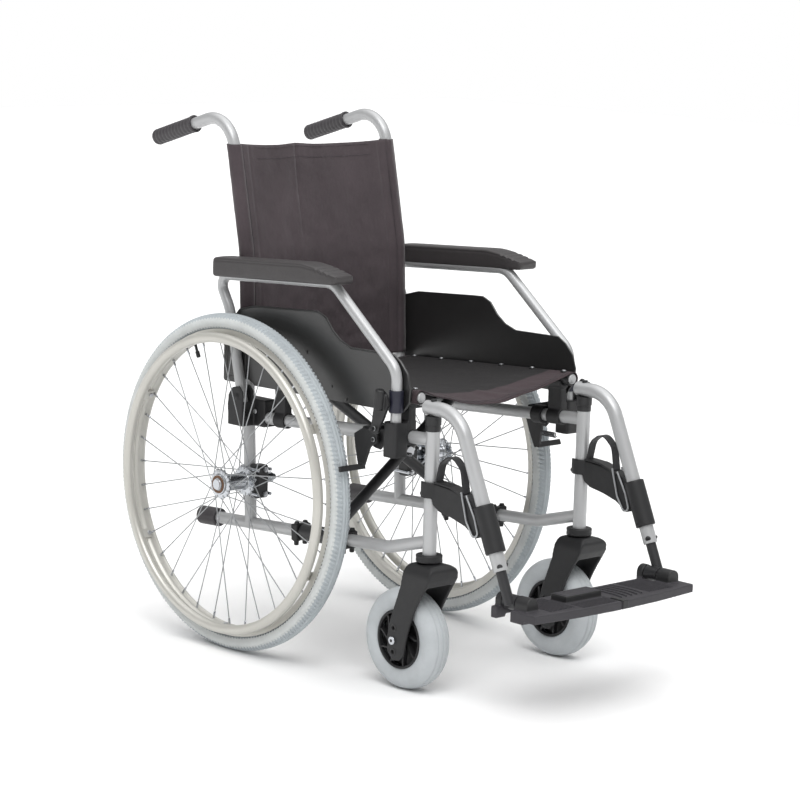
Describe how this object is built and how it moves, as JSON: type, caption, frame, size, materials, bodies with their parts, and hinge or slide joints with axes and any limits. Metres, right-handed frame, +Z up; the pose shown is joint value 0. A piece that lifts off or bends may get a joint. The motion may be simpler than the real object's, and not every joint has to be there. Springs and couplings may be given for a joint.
{
  "type": "folding wheelchair",
  "caption": "Self-propelled folding wheelchair with a scissor brace, sling seat and back, flip-back arms, swing-away legrests, hand-rimmed rear wheels and swivel casters.",
  "frame": {"origin": "centre of the chair's footprint on the floor (bottom centre of its bounding box)", "axes": "+Z up, -Y the way the chair faces, +X the seated user's left"},
  "size_m": [0.58, 1.0298, 0.9579],
  "materials": {
    "frame_silver": "satin",
    "black_metal": "satin",
    "bright_steel": "polished",
    "grip_rubber": "matte",
    "tyre_grey": "matte",
    "rim_silver": "satin",
    "caster_grey": "matte",
    "black_plastic": "matte",
    "footplate_grey": "matte",
    "pad_foam": "matte",
    "sling_nylon": "matte",
    "webbing": "matte"
  },
  "bodies": {
    "right_frame": {"right_side_frame": "frame_silver", "right_back_post": "frame_silver", "right_push_grip": "grip_rubber", "right_frame_clamps": "black_metal", "right_tip_lever": "grip_rubber", "right_axle_adapter": "black_metal", "right_wheel_axle": "bright_steel", "right_brake_mount": "black_metal", "back_upholstery": "sling_nylon"},
    "left_frame": {"left_side_frame": "frame_silver", "left_back_post": "frame_silver", "left_push_grip": "grip_rubber", "left_frame_clamps": "black_metal", "left_tip_lever": "grip_rubber", "left_axle_adapter": "black_metal", "left_wheel_axle": "bright_steel", "left_brake_mount": "black_metal"},
    "cross_a": {"cross_frame_a": "black_metal", "cross_bolt": "bright_steel"},
    "cross_b": {"cross_frame_b": "black_metal", "seat_upholstery": "sling_nylon"},
    "right_wheel": {"right_rear_tyre": "tyre_grey", "right_rear_rim": "rim_silver", "right_rear_spokes": "bright_steel", "right_rear_hub": "bright_steel", "right_handrim": "rim_silver"},
    "right_caster_swivel": {"right_caster_fork": "black_plastic"},
    "right_caster_wheel": {"right_caster_tyre": "caster_grey", "right_caster_hub": "black_plastic"},
    "right_armrest": {"right_armrest_tube": "frame_silver", "right_armrest_pad": "pad_foam", "right_side_panel": "black_plastic"},
    "right_legrest_swivel": {"right_legrest_bush": "black_plastic"},
    "right_legrest": {"right_legrest_tube": "frame_silver", "right_legrest_bracket": "black_plastic", "right_legrest_strap": "webbing"},
    "right_extension": {"right_leg_extension": "black_metal"},
    "right_footplate_flap": {"right_footplate": "footplate_grey"},
    "right_lever": {"right_brake_lever": "black_plastic"},
    "right_shoe": {"right_brake_shoe": "black_metal"},
    "left_wheel": {"left_rear_tyre": "tyre_grey", "left_rear_rim": "rim_silver", "left_rear_spokes": "bright_steel", "left_rear_hub": "bright_steel", "left_handrim": "rim_silver"},
    "left_caster_swivel": {"left_caster_fork": "black_plastic"},
    "left_caster_wheel": {"left_caster_tyre": "caster_grey", "left_caster_hub": "black_plastic"},
    "left_armrest": {"left_armrest_tube": "frame_silver", "left_armrest_pad": "pad_foam", "left_side_panel": "black_plastic"},
    "left_legrest_swivel": {"left_legrest_bush": "black_plastic"},
    "left_legrest": {"left_legrest_tube": "frame_silver", "left_legrest_bracket": "black_plastic", "left_legrest_strap": "webbing"},
    "left_extension": {"left_leg_extension": "black_metal"},
    "left_footplate_flap": {"left_footplate": "footplate_grey"},
    "left_lever": {"left_brake_lever": "black_plastic"},
    "left_shoe": {"left_brake_shoe": "black_metal"}
  },
  "joints": [
    {"name": "fold", "type": "hinge", "parent": "right_frame", "child": "cross_a", "pos_m": [-0.188, 0.02614, 0.23038], "axis": [0, -0.9986, 0.0523], "range_deg": [0, 40], "deforming": ["seat_upholstery", "back_upholstery"]},
    {"name": "fold_centre", "type": "hinge", "parent": "cross_a", "child": "cross_b", "pos_m": [0, 0.0331, 0.36321], "axis": [0, -0.9986, 0.0523], "range_deg": [-80, 0]},
    {"name": "fold_left", "type": "hinge", "parent": "cross_b", "child": "left_frame", "pos_m": [0.188, 0.02614, 0.23038], "axis": [0, -0.9986, 0.0523], "range_deg": [0, 40]},
    {"name": "right_wheel_spin", "type": "hinge", "parent": "right_frame", "child": "right_wheel", "pos_m": [-0.252, 0.2051, 0.305], "axis": [1, 0, 0], "continuous": true},
    {"name": "right_caster_turn", "type": "hinge", "parent": "right_frame", "child": "right_caster_swivel", "pos_m": [-0.188, -0.2399, 0.25], "axis": [0, 0, 1], "continuous": true},
    {"name": "right_caster_spin", "type": "hinge", "parent": "right_caster_swivel", "child": "right_caster_wheel", "pos_m": [-0.188, -0.1929, 0.089], "axis": [1, 0, 0], "continuous": true},
    {"name": "right_armrest_flip", "type": "hinge", "parent": "right_frame", "child": "right_armrest", "pos_m": [-0.2145, 0.2255, 0.456], "axis": [-1, 0, 0], "range_deg": [0, 65]},
    {"name": "right_legrest_follow", "type": "hinge", "parent": "right_frame", "child": "right_legrest_swivel", "pos_m": [-0.188, -0.2399, 0.47], "axis": [0, 0, -1], "range_deg": [0, 50]},
    {"name": "right_legrest_swing", "type": "hinge", "parent": "right_legrest_swivel", "child": "right_legrest", "pos_m": [-0.188, -0.2399, 0.495], "axis": [0, 0, -1], "range_deg": [-0.2, 55]},
    {"name": "right_leg_length", "type": "slide", "parent": "right_legrest", "child": "right_extension", "axis": [0, -0.4018, -0.9157], "range_m": [-0.03, 0.05]},
    {"name": "right_footplate_flip", "type": "hinge", "parent": "right_extension", "child": "right_footplate_flap", "pos_m": [-0.177, -0.4299, 0.195], "axis": [0, -1, 0], "range_deg": [0, 90]},
    {"name": "right_brake_lever_turn", "type": "hinge", "parent": "right_frame", "child": "right_lever", "pos_m": [-0.234, -0.1469, 0.452], "axis": [1, 0, 0], "range_deg": [0, 40]},
    {"name": "right_brake_shoe_turn", "type": "hinge", "parent": "right_frame", "child": "right_shoe", "pos_m": [-0.214, -0.1249, 0.428], "axis": [1, 0, 0], "range_deg": [-12, 0]},
    {"name": "left_wheel_spin", "type": "hinge", "parent": "left_frame", "child": "left_wheel", "pos_m": [0.252, 0.2051, 0.305], "axis": [1, 0, 0], "continuous": true},
    {"name": "left_caster_turn", "type": "hinge", "parent": "left_frame", "child": "left_caster_swivel", "pos_m": [0.188, -0.2399, 0.25], "axis": [0, 0, 1], "continuous": true},
    {"name": "left_caster_spin", "type": "hinge", "parent": "left_caster_swivel", "child": "left_caster_wheel", "pos_m": [0.188, -0.1929, 0.089], "axis": [1, 0, 0], "continuous": true},
    {"name": "left_armrest_flip", "type": "hinge", "parent": "left_frame", "child": "left_armrest", "pos_m": [0.2145, 0.2255, 0.456], "axis": [-1, 0, 0], "range_deg": [0, 65]},
    {"name": "left_legrest_follow", "type": "hinge", "parent": "left_frame", "child": "left_legrest_swivel", "pos_m": [0.188, -0.2399, 0.47], "axis": [0, 0, 1], "range_deg": [0, 50]},
    {"name": "left_legrest_swing", "type": "hinge", "parent": "left_legrest_swivel", "child": "left_legrest", "pos_m": [0.188, -0.2399, 0.495], "axis": [0, 0, 1], "range_deg": [-0.2, 55]},
    {"name": "left_leg_length", "type": "slide", "parent": "left_legrest", "child": "left_extension", "axis": [0, -0.4018, -0.9157], "range_m": [-0.03, 0.05]},
    {"name": "left_footplate_flip", "type": "hinge", "parent": "left_extension", "child": "left_footplate_flap", "pos_m": [0.177, -0.4299, 0.195], "axis": [0, 1, 0], "range_deg": [0, 90]},
    {"name": "left_brake_lever_turn", "type": "hinge", "parent": "left_frame", "child": "left_lever", "pos_m": [0.234, -0.1469, 0.452], "axis": [1, 0, 0], "range_deg": [-40, 0]},
    {"name": "left_brake_shoe_turn", "type": "hinge", "parent": "left_frame", "child": "left_shoe", "pos_m": [0.214, -0.1249, 0.428], "axis": [1, 0, 0], "range_deg": [0, 12]}
  ],
  "couplings": [
    {"joint": "fold_centre", "follows": "fold", "ratio": -2},
    {"joint": "fold_left", "follows": "fold", "ratio": 1},
    {"joint": "right_legrest_follow", "follows": "fold", "ratio": 1.2},
    {"joint": "right_brake_shoe_turn", "follows": "right_brake_lever_turn", "ratio": -0.3},
    {"joint": "left_legrest_follow", "follows": "fold", "ratio": 1.2},
    {"joint": "left_brake_shoe_turn", "follows": "left_brake_lever_turn", "ratio": -0.3}
  ]
}
